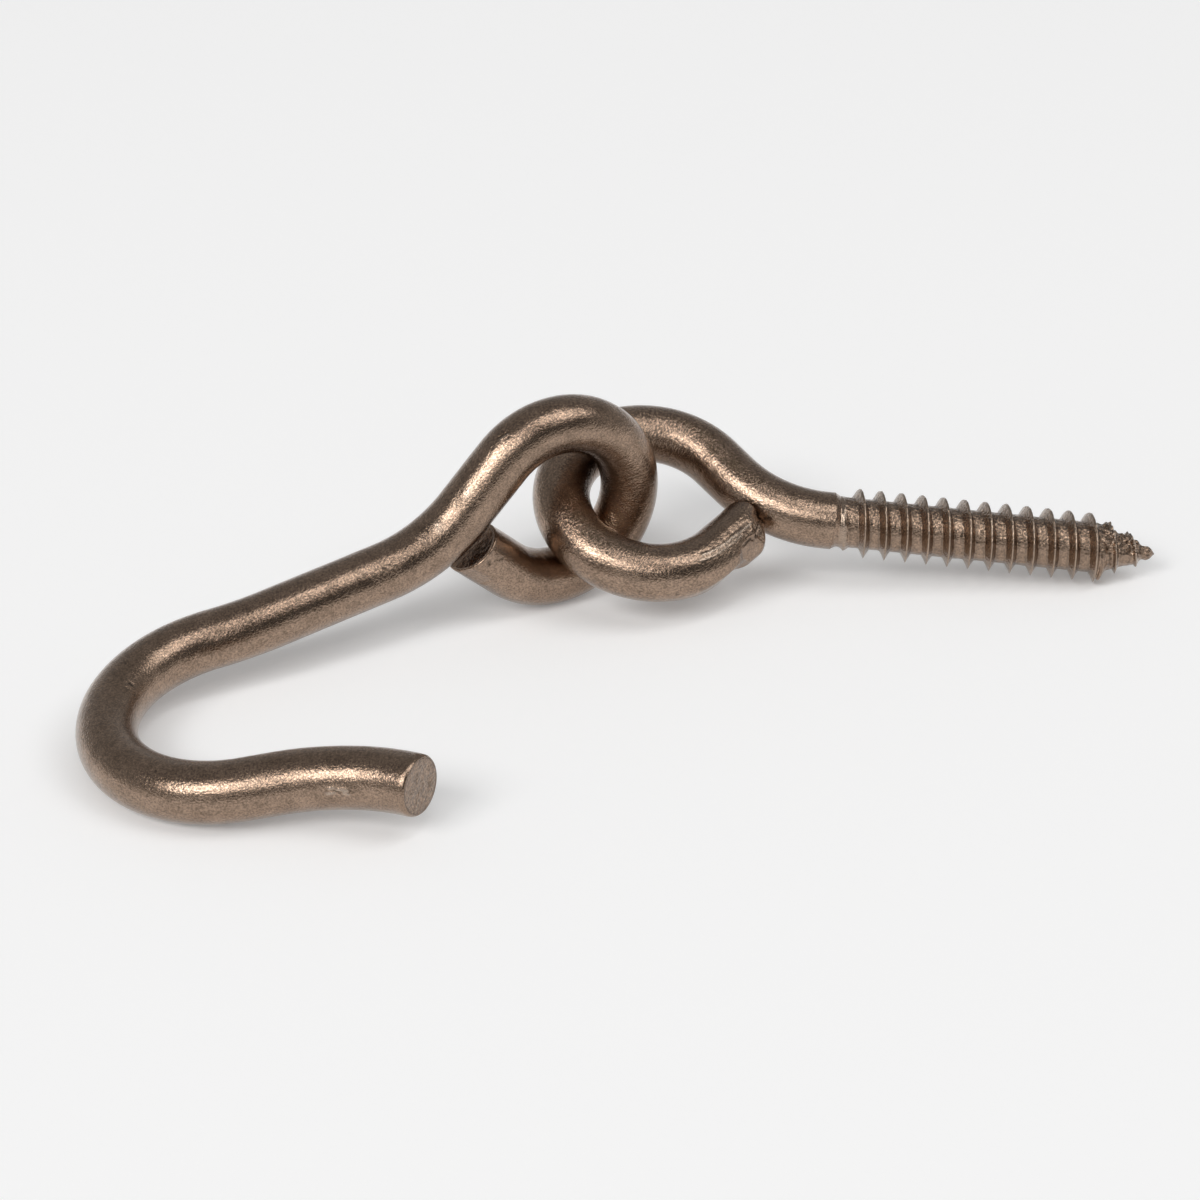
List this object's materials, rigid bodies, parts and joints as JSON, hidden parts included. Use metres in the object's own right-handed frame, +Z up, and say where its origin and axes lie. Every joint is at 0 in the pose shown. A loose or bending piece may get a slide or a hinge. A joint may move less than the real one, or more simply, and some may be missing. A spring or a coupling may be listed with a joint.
{
  "type": "screw eye with linked hook",
  "caption": "Lag-thread screw eye bent from steel wire, with an open hook linked through its ring so that the hook swings freely from the beam it is screwed into.",
  "frame": {"origin": "on the floor, under the middle of the pair's box as it lies", "axes": "+X along the pair's length towards the screw's point, +Z up"},
  "size_m": [0.1436, 0.0829, 0.0307],
  "materials": {
    "steel": "satin drawn wire, slightly browned"
  },
  "bodies": {
    "screw_eye": {"screw_eye": "steel"},
    "hook": {"hook": "steel"}
  },
  "joints": [
    {"name": "hook_swing", "type": "hinge", "parent": "screw_eye", "child": "hook", "pos_m": [-0.01081, 0.02231, 0.01539], "axis": [-0.4809, 0.8763, 0.0293], "range_deg": [-145, 145]}
  ]
}
